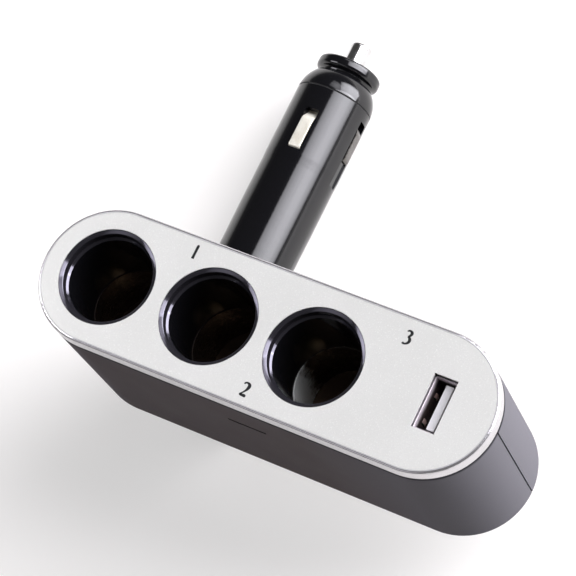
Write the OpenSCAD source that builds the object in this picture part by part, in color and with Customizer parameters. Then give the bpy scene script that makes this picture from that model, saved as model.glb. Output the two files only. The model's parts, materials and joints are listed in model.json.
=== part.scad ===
// Adapter with three 12 volt sockets, a USB socket and a folding plug, in millimetres.
// The origin is where the middle socket's straight bore starts. +X runs along the sockets towards
// the USB socket, +Y is the side the plug folds to, and +Z points out of the sockets.

/* [Body] */
// Width of the body across its long sides
body_w = 34.8; // [34.2:0.1:38]
// Depth of the body from its face to its back
body_depth = 49.4; // [46:0.1:56]
// Distance from one socket to the next
socket_pitch = 28.1; // [27.8:0.1:32]
// Distance from the last socket to the centre of the round end beside the USB socket
end_reach = 28.6; // [26:0.1:36]
// Thickness of the two shells
wall = 2; // [1.6:0.1:2.2]
// Radius of the rounded edge round the back
back_round = 1.8; // [0.6:0.1:2.5]
// Width of the groove between the two shells
seam_w = 0.4; // [0.2:0.05:0.8]
// Depth of the groove between the two shells
seam_depth = 0.5; // [0.2:0.05:0.9]
// Thickness of the ribs that hold the socket wells
rib_t = 1.6; // [1:0.1:2.5]

/* [Front] */
// Distance from the face to the start of the straight bores
mouth_depth = 3; // [2.8:0.1:4]
// Thickness of the face sheet
sheet_t = 0.6; // [0.4:0.1:1]
// Width of the bright border left round the face sheet
sheet_border = 0.9; // [0.6:0.1:2]
// Thickness of the front cover under the sheet
cover_t = 1.6; // [1.2:0.1:2]
// Height of the bright rim
rim_h = 3.6; // [3:0.1:5]
// Radius of the rim's front edge
rim_round = 0.7; // [0.2:0.1:0.85]
// Height of the dark gap between the rim and the shells
gap_h = 0.5; // [0.3:0.1:1]
// Thickness of the lip that enters the shells
lip_t = 1.2; // [0.8:0.1:1.4]
// Height of the lip inside the shells
lip_h = 3.5; // [2:0.1:6]
// Length of the latch slots in the long walls
latch_w = 10.3; // [6:0.1:14]
// Height of the latch slots
latch_h = 0.9; // [0.7:0.1:2]
// Depth of the latch slots below the start of the bores
latch_drop = 13.6; // [10:0.1:14]

/* [Sockets] */
// Radius of the holes in the front
hole_r = 12.2; // [12.1:0.05:13]
// Slope of the bevelled ring round each mouth, in degrees
ring_tilt = 20; // [10:1:28]
// Radius of the rounded lip where the straight bore starts
mouth_round = 0.4; // [0.3:0.05:0.5]
// Radius of the straight bores
bore_r = 10.6; // [10.5:0.05:10.7]
// Length of the straight bores
bore_len = 19; // [14:0.1:22]
// Inner radius of the ground sleeves
sleeve_r = 10.44; // [9.8:0.02:10.44]
// Thickness of the ground sleeves
sleeve_t = 0.55; // [0.4:0.05:0.6]
// Outer radius of the wells
well_r = 12.1; // [11.8:0.05:12.2]
// Radius of the flange under the front cover
flange_r = 13.2; // [12.9:0.05:13.5]
// Thickness of that flange
flange_t = 1.2; // [0.8:0.1:2]
// Thickness of the insulating floors
floor_t = 2; // [1.4:0.1:3]
// Radius of the centre contacts
contact_r = 4; // [3:0.1:5]
// Height of the centre contacts above the floor
contact_h = 0.8; // [0.5:0.1:1.5]

/* [Strips and screws] */
// Room for strips and leads between the insulating floors and the back
wiring_room = 7.4; // [7.2:0.1:9]
// Thickness of the two brass strips
bus_t = 0.8; // [0.5:0.1:1]
// Width of the power strip
power_bus_w = 6; // [5:0.1:8]
// Width of the ground strip
ground_bus_w = 3; // [2:0.1:4]
// Radius of the screws
screw_r = 1.25; // [1:0.05:1.4]
// Length of the screws under the head
screw_len = 20; // [16:0.5:24]
// Radius of the screw heads
head_r = 2.3; // [2:0.05:2.4]
// Radius of the screw bosses
boss_r = 2.6; // [2.3:0.05:2.8]
// Radius of the leads
lead_r = 0.8; // [0.5:0.05:1]

/* [USB socket] */
// Distance from the last socket to the USB socket
usb_reach = 31.1; // [28:0.1:33]
// Gap between the metal shell and the window in the front
usb_gap = 0.2; // [0.1:0.05:0.5]
// Outer length of the metal shell
usb_l = 13; // [12.9:0.05:13.1]
// Outer width of the metal shell
usb_w = 5.6; // [5.5:0.05:5.7]
// Thickness of the metal shell
usb_t = 0.25; // [0.2:0.05:0.3]
// Depth of the metal shell from its mouth to the board
usb_depth = 14; // [12:0.1:16]
// Distance from the face to the mouth of the metal shell
usb_inset = 1.4; // [0.8:0.1:2]
// Room between each end of the tongue and the metal shell
tongue_gap = 0.7; // [0.5:0.05:1]
// Thickness of the tongue
tongue_t = 1.84; // [1.6:0.02:1.9]
// Thickness of the circuit board
board_t = 1.6; // [1:0.1:2]

/* [Hinge] */
// Place of the plug along the body, counted from the first socket
plug_reach = 4.9; // [3:0.1:8]
// Distance from the back to the hinge axis
pivot_drop = 11.1; // [10.8:0.1:13]
// Width of the knuckle
knuckle_w = 12; // [11:0.1:14]
// Radius of the knuckle
knuckle_r = 9; // [8:0.1:9.2]
// Radius of the hinge ears
ear_r = 9.2; // [8.6:0.1:9.4]
// Radius of the trunnions
trunnion_r = 4; // [3:0.05:5]
// Length of each trunnion
trunnion_len = 3; // [2:0.1:4]
// Thickness of the closed outer wall of each ear
ear_wall = 1.4; // [1:0.1:2.5]

/* [Plug] */
// Distance from the hinge axis to the shoulder where the round barrel starts
shoulder_s = 9.5; // [9.5:0.1:11]
// Distance from the hinge axis to the end of the taper behind the straight part
taper_s = 45; // [30:0.5:50]
// Distance from the hinge axis to the end of the straight part, where two shallow grooves start
groove_s = 58.2; // [52:0.1:59]
// Depth of those grooves
groove_depth = 0.6; // [0.3:0.1:1]
// Distance from the hinge axis to the end of the barrel
barrel_s = 80.4; // [80.4:0.1:84]
// Radius of the barrel at the shoulder
root_r = 10; // [9.8:0.05:10.2]
// Radius of the straight part of the barrel behind the windows
straight_r = 10.3; // [10.2:0.05:10.3]
// Radius of the barrel at the windows
barrel_r = 10.4; // [10.35:0.05:10.45]
// Radius inside the barrel
cavity_r = 8.2; // [8.1:0.05:8.4]
// Length of the windows
window_l = 11.8; // [10:0.1:12]
// Width of the windows
window_w = 3.7; // [3:0.1:4.2]
// Distance from the hinge axis to the windows that face the front and back
window_s = 61.8; // [60:0.1:62]
// How much nearer the tip the other two windows are
window_shift = 3.8; // [2:0.1:3.8]
// How far the side contacts stand out of the barrel
contact_proud = 0.3; // [0.2:0.05:1]
// Thickness of the side contacts
leaf_t = 0.5; // [0.3:0.05:0.6]

/* [Nose] */
// Height of the dome
dome_h = 6; // [5.4:0.1:7]
// Radius of the neck between the dome and the nut
neck_r = 7.4; // [7:0.1:8]
// Height of the neck
neck_h = 0.8; // [0.5:0.1:2]
// Radius of the nut's flange
nut_r = 8.75; // [8:0.05:9.5]
// Thickness of the nut's flange
nut_h = 4; // [3:0.1:5]
// Radius of the nut's shank inside the dome
shank_r = 6.6; // [6.2:0.05:6.8]
// Radius of the tip pin
pin_r = 2.9; // [2.5:0.05:3.2]
// How far the tip pin stands out of the nut
pin_out = 6.8; // [5:0.1:8]
// Travel of the tip pin
pin_travel = 2.6; // [1.5:0.1:3]

/* [Fuse] */
// Length of the fuse
fuse_len = 31.8; // [28:0.1:32]
// Radius of the fuse's metal caps
fuse_r = 3.2; // [2.9:0.05:3.2]
// Length of each metal cap
fuse_cap_len = 6; // [4:0.1:8]
// Inner radius of the fuse tube
carrier_bore_r = 3.6; // [3.55:0.05:3.8]
// Outer radius of the fuse tube
carrier_r = 4.8; // [4.6:0.05:4.9]

/* [Hidden] */
$fn = 96;

// How far every cut runs past what it cuts
over = 1;
// Clearance between pieces that are put together and stay still
fit = 0.1;
// Radial clearance of what turns or slides in a bore
run_fit = 0.06;
// Gap between moving pieces that pass each other
pass_gap = 0.3;

// Levels along Z, from the front to the back
z_face = mouth_depth;
z_sheet = z_face - sheet_t;
z_plate = z_sheet - cover_t;
z_rim = z_face - rim_h;
z_front = z_rim - gap_h;
z_lip = z_front - lip_h;
z_back = z_face - body_depth;
z_floor = z_back + wall;
z_bus = z_floor + wiring_room;
z_seat = z_bus + floor_t;
z_sleeve = -bore_len;
sleeve_len = z_sleeve - z_seat;

// Places along X and radii across the body
body_r = body_w / 2;
inner_r = body_r - wall;
lip_r = inner_r - fit;
socket_xs = [-socket_pitch, 0, socket_pitch];
left_x = -socket_pitch;
right_x = socket_pitch + end_reach;
latch_x = socket_pitch / 2;

// Mouth of a socket well: bevel with a rounded inner edge, straight wall, and rounded lip of the bore
ring_r = hole_r - fit;
ring_drop = 0.05;
ring_edge = 0.4;
mouth_r = bore_r + mouth_round;
pocket_r = sleeve_r + sleeve_t + fit / 2;

// Ground tabs and strips
tab_w = 3;
tab_y = -(sleeve_r + sleeve_t / 2);
rivet_r = 1.5;
rivet_tail_r = 2.4;
rivet_tail_h = 0.8;
bus_tail = 3.3;
bus_end_x = socket_pitch + flange_r + bus_tail;

// Screws, from the upper side, and their bosses
boss_sink = 0.3;
z_boss = z_floor + boss_r - boss_sink;
head_h = 1.6;
head_drop = 2.2;
collar_wall = 1;
screw_xs = [left_x + plug_reach, socket_pitch / 4, socket_pitch * 1.25, right_x - boss_r * 1.5];

// USB socket and its board
usb_x = socket_pitch + usb_reach;
z_usb = z_face - usb_inset;
z_board = z_usb - usb_depth;
usb_window_l = usb_l + 2 * usb_gap;
usb_window_w = usb_w + 2 * usb_gap;
tongue_l = usb_l - 2 * usb_t - 2 * tongue_gap;
tongue_shift = 0.85;
tongue_inset = 1.1;
usb_base_h = 3;
pin_w = 1.2;
pin_t = 0.2;
pin_pitch = 2.3;
board_x = socket_pitch + flange_r + 1.7;
rib_end_x = socket_pitch + flange_r;
board_r = inner_r - 2 * fit;
ledge_w = 1.8;
ledge_t = 1.2;
coil_r = 4;
coil_h = 5;
cap_r = 3.15;
cap_h = 11;
chip_l = 5;
chip_w = 4;
chip_h = 1.5;

// Hinge: the axis runs along X
plug_x = left_x + plug_reach;
z_pivot = z_back - pivot_drop;
ear_in = knuckle_w / 2 + 0.2;
journal_len = trunnion_len + fit;
channel_w = lead_r * 2 + 1.7;
channel_d = lead_r * 2 + 1.8;
ear_out = ear_in + journal_len + channel_w + ear_wall;
stop_gap = pass_gap;

// Plug inside, counted along the plug from the hinge axis
hollow_r = 1.7;
throat_r = 4.2;
cavity_s = shoulder_s + 3;
neck_s = barrel_s + dome_h;
nut_s = neck_s + neck_h;
top_s = nut_s + nut_h;
ledge_s = top_s - 3;
pin_flange_r = 4.2;
pin_flange_t = 1.1;
well_nut_r = 4.5;
fuse_front_s = barrel_s;
fuse_back_s = fuse_front_s - fuse_len;
cup_t = 0.25;
cup_floor = 1;
cup_len = 5;
carrier_wall = 2;
cup_s = fuse_back_s - cup_floor;
carrier_s = cup_s - carrier_wall;
stud_r = 0.9;
stud_len = 3.6;
disc_t = 1.6;
neck_tube_h = 2.6;
shank_s = barrel_s + neck_tube_h + 0.2;
collar_t = 0.5;
collar_front_s = barrel_s - disc_t - 0.9;
collar_back_s = window_s - 2;
collar_tab_w = 2;
ground_lead_at = carrier_r + collar_t + lead_r + fit;

// Side contacts: a leaf with feet that stay under the barrel's wall
leaf_w = window_w - 0.4;
foot_l = 0.9;
foot_r = sqrt(pow(cavity_r - fit, 2) - pow(leaf_w / 2, 2));
leaf_top_r = barrel_r + contact_proud;
press = contact_proud + 0.15;
leaf_ramp_share = 0.25;

// Spring behind the tip pin
spring_wire_r = 0.25;
spring_r = 3;
spring_turns = 6;
spring_sides = 6;
spring_rings = 8;

// Leads
lead_sides = 8;
lead_bend = 1.8;
lead_steps = 4;
lead_gap = 0.15;

function unit(v) = v / norm(v);

// Points of a corner b between a and c, rounded over the distance d on both sides
function corner(a, b, c, d) = let (p = b + unit(a - b) * d, q = b + unit(c - b) * d)
    [for (i = [0:lead_steps]) let (u = i / lead_steps)
        (1 - u) * (1 - u) * p + 2 * u * (1 - u) * b + u * u * q];

// A route with straight runs and rounded corners
function rounded(route, d) = concat([route[0]],
    [for (k = [1:len(route) - 2]) each corner(route[k - 1], route[k], route[k + 1], d)],
    [route[len(route) - 1]]);

// One ring of a swept tube round c, square to the direction t
function ring(c, t, side, r, n) = let (u = unit(cross(t, side)), v = unit(cross(u, t)))
    [for (k = [0:n - 1]) c + r * (cos(360 * k / n) * u + sin(360 * k / n) * v)];

// A tube of n sides swept along a path; side is a direction that the path never runs along
module swept(path, r, side, n) {
    last = len(path) - 1;
    rings = [for (i = [0:last])
        let (t = unit(path[min(i + 1, last)] - path[max(i - 1, 0)]))
            each ring(path[i], t, side, r, n)];
    walls = [for (i = [0:last - 1], k = [0:n - 1])
        let (a = i * n + k, b = i * n + (k + 1) % n)
            each [[a, b, b + n], [a, b + n, a + n]]];
    polyhedron(rings, concat([[for (k = [n - 1:-1:0]) k]], [[for (k = [0:n - 1]) last * n + k]],
        walls));
}

module lead(route, side) {
    swept(rounded(route, lead_bend), lead_r, side, lead_sides);
}

// Outline with round ends of radius r
module slot_outline(r) {
    translate([left_x, 0]) circle(r);
    translate([right_x, 0]) circle(r);
    translate([left_x, -r]) square([right_x - left_x, 2 * r]);
}

module slot_plate(r, z0, z1) {
    translate([0, 0, z0]) linear_extrude(z1 - z0) slot_outline(r);
}

// Section of the body from its middle line out, with a rounded edge at the bottom
module rounded_section(r, h, edge) {
    difference() {
        square([r, h]);
        difference() {
            translate([r - edge, -over]) square([edge + over, edge + over]);
            translate([r - edge, edge]) circle(edge);
        }
    }
}

// Body with round ends and one rounded edge; up is 1 for the edge at z0 and -1 for the edge at z1
module rounded_slot(r, z0, z1, edge, up) {
    translate([0, 0, up > 0 ? z0 : z1]) mirror([0, 0, up > 0 ? 0 : 1]) {
        for (x = [left_x, right_x])
            translate([x, 0, 0]) rotate_extrude() rounded_section(r, z1 - z0, edge);
        translate([left_x, 0, 0]) rotate([90, 0, 90]) linear_extrude(right_x - left_x) {
            rounded_section(r, z1 - z0, edge);
            mirror([1, 0]) rounded_section(r, z1 - z0, edge);
        }
    }
}

// The three holes and the USB window, cut from z0 to z1
module front_openings(z0, z1) {
    for (x = socket_xs) translate([x, 0, z0]) cylinder(r = hole_r, h = z1 - z0);
    translate([usb_x - usb_window_w / 2, -usb_window_l / 2, z0])
        cube([usb_window_w, usb_window_l, z1 - z0]);
}

module face_sheet() {
    color("gainsboro") difference() {
        slot_plate(body_r - sheet_border - fit / 2, z_sheet, z_face);
        front_openings(z_sheet - over, z_face + over);
    }
}

// Snap arm of the front cover, with a wedge that stands in the latch slot
module snap_arm() {
    arm_w = latch_w - 4 * fit;
    nib_t = wall * 0.6;
    nib_h = latch_h - fit;
    translate([latch_x - arm_w / 2, lip_r - lip_t, -latch_drop - latch_h])
        cube([arm_w, lip_t, latch_drop + latch_h + z_lip + over]);
    translate([latch_x + arm_w / 2, lip_r, -latch_drop - nib_h / 2]) rotate([90, 0, -90])
        linear_extrude(arm_w) polygon([[0, 0], [0, nib_h], [-nib_t, nib_h]]);
}

module front_cover() {
    color("silver") difference() {
        union() {
            rounded_slot(body_r, z_rim, z_face, rim_round, -1);
            slot_plate(lip_r, z_lip, z_face - rim_round);
            snap_arm();
            mirror([0, 1, 0]) snap_arm();
        }
        slot_plate(body_r - sheet_border, z_sheet, z_face + over);
        difference() {
            slot_plate(lip_r - lip_t, z_lip - over, z_plate);
            snap_arm();
            mirror([0, 1, 0]) snap_arm();
        }
        front_openings(z_plate - over, z_face);
        for (x = socket_xs) translate([x, 0, z_lip - over])
            cylinder(r = flange_r + fit, h = z_plate - z_lip + over);
    }
}

// Plate across the body with a round seat for each well
module well_rib(z0) {
    translate([0, 0, z0]) linear_extrude(rib_t) difference() {
        union() {
            translate([left_x, 0]) circle(inner_r + wall / 2);
            translate([left_x, -inner_r - wall / 2])
                square([rib_end_x - left_x, 2 * inner_r + wall]);
        }
        for (x = socket_xs) translate([x, 0]) circle(well_r + fit);
    }
}

// Ledge that carries the circuit board, with room for the ground lead
module board_ledge() {
    z0 = z_board - board_t - ledge_t;
    difference() {
        slot_plate(inner_r + wall / 2, z0, z0 + ledge_t);
        slot_plate(inner_r - ledge_w, z0 - over, z0 + ledge_t + over);
        translate([left_x - body_w, -body_w, z0 - over])
            cube([board_x - left_x + body_w, 2 * body_w, ledge_t + 2 * over]);
        translate([bus_end_x, tab_y, z0 - over]) cylinder(r = 2 * lead_r, h = ledge_t + 2 * over);
    }
}

// Outline of a hinge ear: round towards +Y, square towards -Y, where the shoulder stops
module ear_outline() {
    circle(ear_r);
    translate([-ear_r, 0]) square([2 * ear_r, pivot_drop + wall / 2]);
    translate([-ear_r, -ear_r]) square([ear_r, ear_r + over]);
}

module hinge_ear(x0) {
    translate([x0, 0, z_pivot]) rotate([90, 0, 90]) linear_extrude(ear_out - ear_in) ear_outline();
}

// Seat of one trunnion and the channel for its lead, on the side given by dir
module hinge_cuts(dir) {
    reach = ear_in + journal_len;
    translate([plug_x, 0, 0]) mirror([dir > 0 ? 0 : 1, 0, 0]) {
        translate([ear_in - over, 0, z_pivot]) rotate([0, 90, 0])
            cylinder(r = trunnion_r + run_fit, h = journal_len + over);
        translate([reach - fit, -channel_d / 2, z_pivot - channel_d / 2])
            cube([channel_w + fit, channel_d, pivot_drop + channel_d / 2 + wall + over]);
    }
}

module screw_boss(x) {
    translate([x, 0, z_boss]) rotate([90, 0, 0])
        cylinder(r = boss_r, h = 2 * inner_r + wall, center = true);
    translate([x, body_r - wall / 2, z_boss]) rotate([90, 0, 0])
        cylinder(r = head_r + collar_wall, h = head_drop + collar_wall - wall / 2);
}

// Both shells as one block, before they are split along the middle
module housing_block() {
    difference() {
        union() {
            difference() {
                rounded_slot(body_r, z_back, z_front, back_round, 1);
                slot_plate(inner_r, z_floor, z_front + over);
            }
            well_rib(z_sleeve + rib_t);
            well_rib(z_seat + 2 * rib_t);
            board_ledge();
            hinge_ear(plug_x + ear_in);
            hinge_ear(plug_x - ear_out);
            for (x = screw_xs) screw_boss(x);
        }
        hinge_cuts(1);
        hinge_cuts(-1);
        for (side = [-1, 1])
            translate([latch_x - latch_w / 2, side * body_r - wall / 2 - over, -latch_drop - latch_h / 2])
                cube([latch_w, wall + 2 * over, latch_h]);
        difference() {
            translate([left_x - body_w, -seam_w / 2, z_back - over])
                cube([right_x - left_x + 2 * body_w, seam_w, z_front - z_back + 2 * over]);
            slot_plate(body_r - seam_depth, z_back + seam_depth, z_front + 2 * over);
            translate([plug_x - ear_out, -body_r, z_pivot])
                cube([2 * ear_out, body_w, pivot_drop + wall]);
        }
    }
}

// Half of the space, above or below the split plane
module half_space(side) {
    size = 2 * (right_x - left_x + body_w);
    translate([-size / 2, side > 0 ? 0 : -size, -size / 2]) cube(size);
}

module upper_housing() {
    color("gray") difference() {
        intersection() {
            housing_block();
            half_space(1);
        }
        for (x = screw_xs) translate([x, 0, z_boss]) rotate([-90, 0, 0]) {
            translate([0, 0, -over]) cylinder(r = screw_r + fit, h = body_r + over);
            translate([0, 0, body_r - head_drop]) cylinder(r = head_r + fit, h = head_drop + over);
        }
    }
}

module lower_housing() {
    color("dimgray") difference() {
        intersection() {
            housing_block();
            half_space(-1);
        }
        for (x = screw_xs) translate([x, over, z_boss]) rotate([90, 0, 0])
            cylinder(r = screw_r + fit / 2, h = screw_len - body_r + head_drop + 2 * over);
    }
}

module housing_screws() {
    color("darkgray") for (x = screw_xs)
        translate([x, body_r - head_drop, z_boss]) rotate([90, 0, 0]) difference() {
            union() {
                cylinder(r = screw_r, h = screw_len);
                translate([0, 0, -head_h]) cylinder(r = head_r, h = head_h);
            }
            for (turn = [0, 90]) rotate([0, 0, turn])
                translate([-head_r * 0.6, -screw_r * 0.3, -head_h - over])
                    cube([head_r * 1.2, screw_r * 0.6, head_h * 0.55 + over]);
        }
}

// Black tube of one socket, with its bevelled ring and rounded lip
module socket_well(i) {
    z_ring = z_face - ring_drop;
    bevel_r = mouth_r + ring_edge * (1 - sin(ring_tilt));
    z_bevel = z_ring - (ring_r - bevel_r) * tan(ring_tilt);
    z_edge = z_bevel - ring_edge * cos(ring_tilt);
    color("black") translate([socket_xs[i], 0, 0]) rotate_extrude() {
        polygon([[bore_r, z_sleeve], [pocket_r, z_sleeve], [pocket_r, z_bus], [well_r, z_bus],
            [well_r, z_plate - flange_t], [flange_r, z_plate - flange_t], [flange_r, z_plate],
            [ring_r, z_plate], [ring_r, z_ring], [bevel_r, z_bevel], [mouth_r + ring_edge, z_edge],
            [mouth_r, z_edge], [mouth_r, 0], [bore_r, 0]]);
        translate([mouth_r + ring_edge, z_edge]) circle(ring_edge);
        translate([mouth_r, 0]) circle(mouth_round);
    }
}

// Metal sleeve of one socket, with a tab down to the ground strip
module ground_sleeve(i) {
    color("lightgray") translate([socket_xs[i], 0, 0]) {
        translate([0, 0, z_seat]) difference() {
            cylinder(r = sleeve_r + sleeve_t, h = sleeve_len);
            translate([0, 0, -over]) cylinder(r = sleeve_r, h = sleeve_len + 2 * over);
        }
        intersection() {
            translate([0, 0, z_bus]) difference() {
                cylinder(r = sleeve_r + sleeve_t, h = floor_t + over);
                translate([0, 0, -over]) cylinder(r = sleeve_r, h = floor_t + 3 * over);
            }
            translate([-tab_w / 2, -body_w, z_bus]) cube([tab_w, body_w, floor_t + over]);
        }
    }
}

module insulator(i) {
    color("tan") translate([socket_xs[i], 0, z_bus]) difference() {
        cylinder(r = pocket_r - fit / 2, h = floor_t);
        translate([0, 0, -over]) cylinder(r = rivet_r + fit / 2, h = floor_t + 2 * over);
        translate([-tab_w / 2 - fit, -body_w, -over])
            cube([tab_w + 2 * fit, body_w - sleeve_r + 2 * fit, floor_t + 2 * over]);
    }
}

// Riveted centre contact: domed head, shank and flattened tail
module centre_contact(i) {
    dome_r = (contact_r * contact_r + contact_h * contact_h) / (2 * contact_h);
    color("gold") translate([socket_xs[i], 0, z_seat]) rotate_extrude() {
        intersection() {
            translate([0, contact_h - dome_r]) circle(dome_r);
            square([contact_r, contact_h]);
        }
        translate([0, -floor_t - bus_t - rivet_tail_h])
            square([rivet_r, floor_t + bus_t + rivet_tail_h + contact_h / 2]);
        translate([0, -floor_t - bus_t - rivet_tail_h]) square([rivet_tail_r, rivet_tail_h]);
    }
}

module bus(y, w, holes) {
    color("goldenrod") translate([0, 0, z_bus - bus_t]) linear_extrude(bus_t) difference() {
        translate([left_x - w, y - w / 2]) square([bus_end_x - left_x + w, w]);
        if (holes) for (x = socket_xs) translate([x, y]) circle(rivet_r + fit / 2);
    }
}

module power_bus() {
    bus(0, power_bus_w, true);
}

module ground_bus() {
    bus(tab_y, ground_bus_w, false);
}

module usb_shell() {
    slot_l = 1.6;
    slot_h = 3.2;
    color("silver") translate([usb_x, 0, z_board]) difference() {
        translate([-usb_w / 2, -usb_l / 2, 0]) cube([usb_w, usb_l, usb_depth]);
        translate([-usb_w / 2 + usb_t, -usb_l / 2 + usb_t, -over])
            cube([usb_w - 2 * usb_t, usb_l - 2 * usb_t, usb_depth + 2 * over]);
        for (y = [-usb_l / 4, usb_l / 4])
            translate([-usb_w / 2 - over, y - slot_l / 2, usb_depth / 2])
                cube([usb_w + 2 * over, slot_l, slot_h]);
    }
}

module usb_tongue() {
    inner_w = usb_w - 2 * usb_t - fit;
    inner_l = usb_l - 2 * usb_t - fit;
    color("whitesmoke") translate([usb_x, 0, z_board]) {
        translate([-inner_w / 2, -inner_l / 2, 0]) cube([inner_w, inner_l, usb_base_h]);
        translate([tongue_shift - tongue_t / 2, -tongue_l / 2, 0])
            cube([tongue_t, tongue_l, usb_depth - tongue_inset]);
    }
}

module usb_pins() {
    color("gold") for (k = [-1.5:1:1.5])
        translate([usb_x + tongue_shift - tongue_t / 2 - pin_t, k * pin_pitch - pin_w / 2,
            z_board + usb_base_h])
            cube([pin_t, pin_w, usb_depth - tongue_inset - usb_base_h - 3 * pin_t]);
}

module usb_board() {
    color("green") translate([0, 0, z_board - board_t]) linear_extrude(board_t) intersection() {
        slot_outline(board_r);
        translate([board_x, -body_w]) square([2 * body_w, 2 * body_w]);
    }
}

module board_coil() {
    rim_t = coil_h / 6;
    color("dimgray") translate([usb_x - usb_w, -coil_r * 1.5, z_board - board_t - coil_h])
        rotate_extrude() {
            square([coil_r, rim_t]);
            square([coil_r * 0.8, coil_h]);
            translate([0, coil_h - rim_t]) square([coil_r, rim_t]);
        }
}

module board_capacitor() {
    color("navy") translate([usb_x - usb_w, cap_r * 1.5, z_board - board_t - cap_h])
        cylinder(r = cap_r, h = cap_h);
}

module board_chip() {
    color("black") translate([usb_x + usb_w / 2, -chip_l / 2, z_board - board_t - chip_h])
        cube([chip_w, chip_l, chip_h]);
}

// Lead from the end of a strip up to the board
module board_lead(y) {
    x = bus_end_x - lead_r * 2;
    z = z_board - board_t;
    lead([[x, y, z_bus], [x, y, z_bus + (z - z_bus) / 3],
        [x + lead_r * 2, y, z_bus + (z - z_bus) * 2 / 3], [x + lead_r * 2, y, z]], [0, 1, 0]);
}

module board_power_lead() {
    color("red") board_lead(0);
}

module board_ground_lead() {
    color("black") board_lead(tab_y);
}

// Places of the leads in the hinge
lead_x = ear_in + journal_len + lead_r + fit;
trunnion_end = knuckle_w / 2 + trunnion_len;

// Lead from the power strip down the left ear to the end of the left trunnion
module power_lead_body() {
    x = plug_x - lead_x - lead_bend / 2;
    z = z_bus - bus_t - lead_r;
    color("red") lead([[left_x - power_bus_w / 2, 0, z], [x, 0, z], [x, 0, z_pivot],
        [plug_x - trunnion_end - lead_gap, 0, z_pivot]], [0, 1, 0]);
}

// Lead from the ground strip down the right ear to the end of the right trunnion
module ground_lead_body() {
    x = plug_x + lead_x + lead_bend / 2;
    z = z_bus - bus_t - lead_r;
    color("black") lead([[x, tab_y, z], [x, tab_y / 2, z - lead_r], [x, 0, z - lead_r], [x, 0, z_pivot],
        [plug_x + trunnion_end + lead_gap, 0, z_pivot]], [0.3, 0.9, 0.2]);
}

// The plug is drawn along +Z from the hinge axis and laid down along +Y
module on_plug() {
    translate([plug_x, 0, z_pivot]) rotate([-90, 0, 0]) children();
}

// Window for one side contact, in the wall that faces +X before it is turned
module barrel_window(s) {
    translate([cavity_r / 2, -window_w / 2, s]) cube([barrel_r, window_w, window_l]);
}

// Turn of each side contact round the plug and its distance from the hinge axis
function leaf_turn(i) = i * 90;
function leaf_s(i) = window_s + (i % 2 == 0 ? window_shift : 0);

module plug_barrel() {
    color("black") on_plug() difference() {
        union() {
            translate([0, 0, shoulder_s])
                cylinder(r1 = root_r, r2 = straight_r, h = taper_s - shoulder_s);
            translate([0, 0, taper_s]) cylinder(r = straight_r, h = groove_s - taper_s);
            translate([0, 0, groove_s])
                cylinder(r1 = straight_r, r2 = barrel_r, h = window_s - over - groove_s);
            translate([0, 0, window_s - over]) cylinder(r = barrel_r, h = barrel_s - window_s + over);
            rotate([0, 90, 0]) cylinder(r = knuckle_r, h = knuckle_w, center = true);
            intersection() {
                translate([-knuckle_w / 2, -knuckle_r, 0])
                    cube([knuckle_w, 2 * knuckle_r, shoulder_s + over]);
                cylinder(r = root_r, h = shoulder_s + 2 * over);
            }
            rotate([0, 90, 0]) cylinder(r = trunnion_r, h = 2 * trunnion_end, center = true);
        }
        rotate([0, 90, 0]) cylinder(r = hollow_r, h = 2 * trunnion_end + 2 * over, center = true);
        translate([0, 0, -hollow_r * 1.5]) cylinder(r = throat_r, h = cavity_s + hollow_r * 2);
        translate([0, 0, cavity_s]) cylinder(r = cavity_r, h = barrel_s);
        for (i = [0:3]) rotate([0, 0, leaf_turn(i)]) barrel_window(leaf_s(i));
        for (i = [0, 2]) rotate([0, 0, leaf_turn(i)])
            translate([barrel_r - groove_depth, -window_w / 2, groove_s])
                cube([barrel_r, window_w, leaf_s(i) - groove_s + over]);
    }
}

// Domed shoulder, bored for the nut's shank and the front end of the fuse tube
module nose_cap() {
    color("black") on_plug() translate([0, 0, barrel_s]) rotate_extrude() difference() {
        intersection() {
            square([barrel_r, dome_h]);
            translate([neck_r - dome_h, 0]) circle(r = dome_h + barrel_r - neck_r);
        }
        translate([0, -over]) square([carrier_r + fit / 2, dome_h + 2 * over]);
        translate([0, shank_s - barrel_s - fit]) square([shank_r + run_fit, dome_h + over]);
    }
}

// Flanged nut that keeps the tip pin in
module tip_nut() {
    edge = nut_h * 0.45;
    color("black") on_plug() rotate_extrude() difference() {
        union() {
            translate([0, shank_s]) square([shank_r, nut_s - shank_s]);
            translate([0, neck_s + pass_gap]) square([neck_r, nut_s - neck_s]);
            translate([0, nut_s]) square([nut_r - edge, nut_h]);
            translate([nut_r - edge, nut_s + edge]) circle(edge);
            translate([nut_r - edge, top_s - edge]) circle(edge);
            translate([nut_r - edge, nut_s + edge]) square([edge, nut_h - 2 * edge]);
        }
        translate([0, shank_s - over]) square([well_nut_r, ledge_s - shank_s + over]);
        translate([0, ledge_s - over]) square([pin_r + run_fit, top_s - ledge_s + 2 * over]);
    }
}

// Chrome centre contact with a rounded top and a flange that the nut keeps in
module tip_pin() {
    edge = pin_r * 0.3;
    pin_top = top_s + pin_out;
    flange_top = ledge_s - fit;
    color("silver") on_plug() rotate_extrude() {
        translate([0, flange_top - pin_flange_t]) square([pin_flange_r, pin_flange_t]);
        translate([0, flange_top - over]) square([pin_r, pin_top - edge - flange_top + over]);
        translate([0, pin_top - 2 * edge]) square([pin_r - edge, 2 * edge]);
        intersection() {
            translate([pin_r - edge, pin_top - edge]) circle(edge);
            translate([0, pin_top - 2 * edge]) square([pin_r, 2 * edge]);
        }
    }
}

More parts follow.
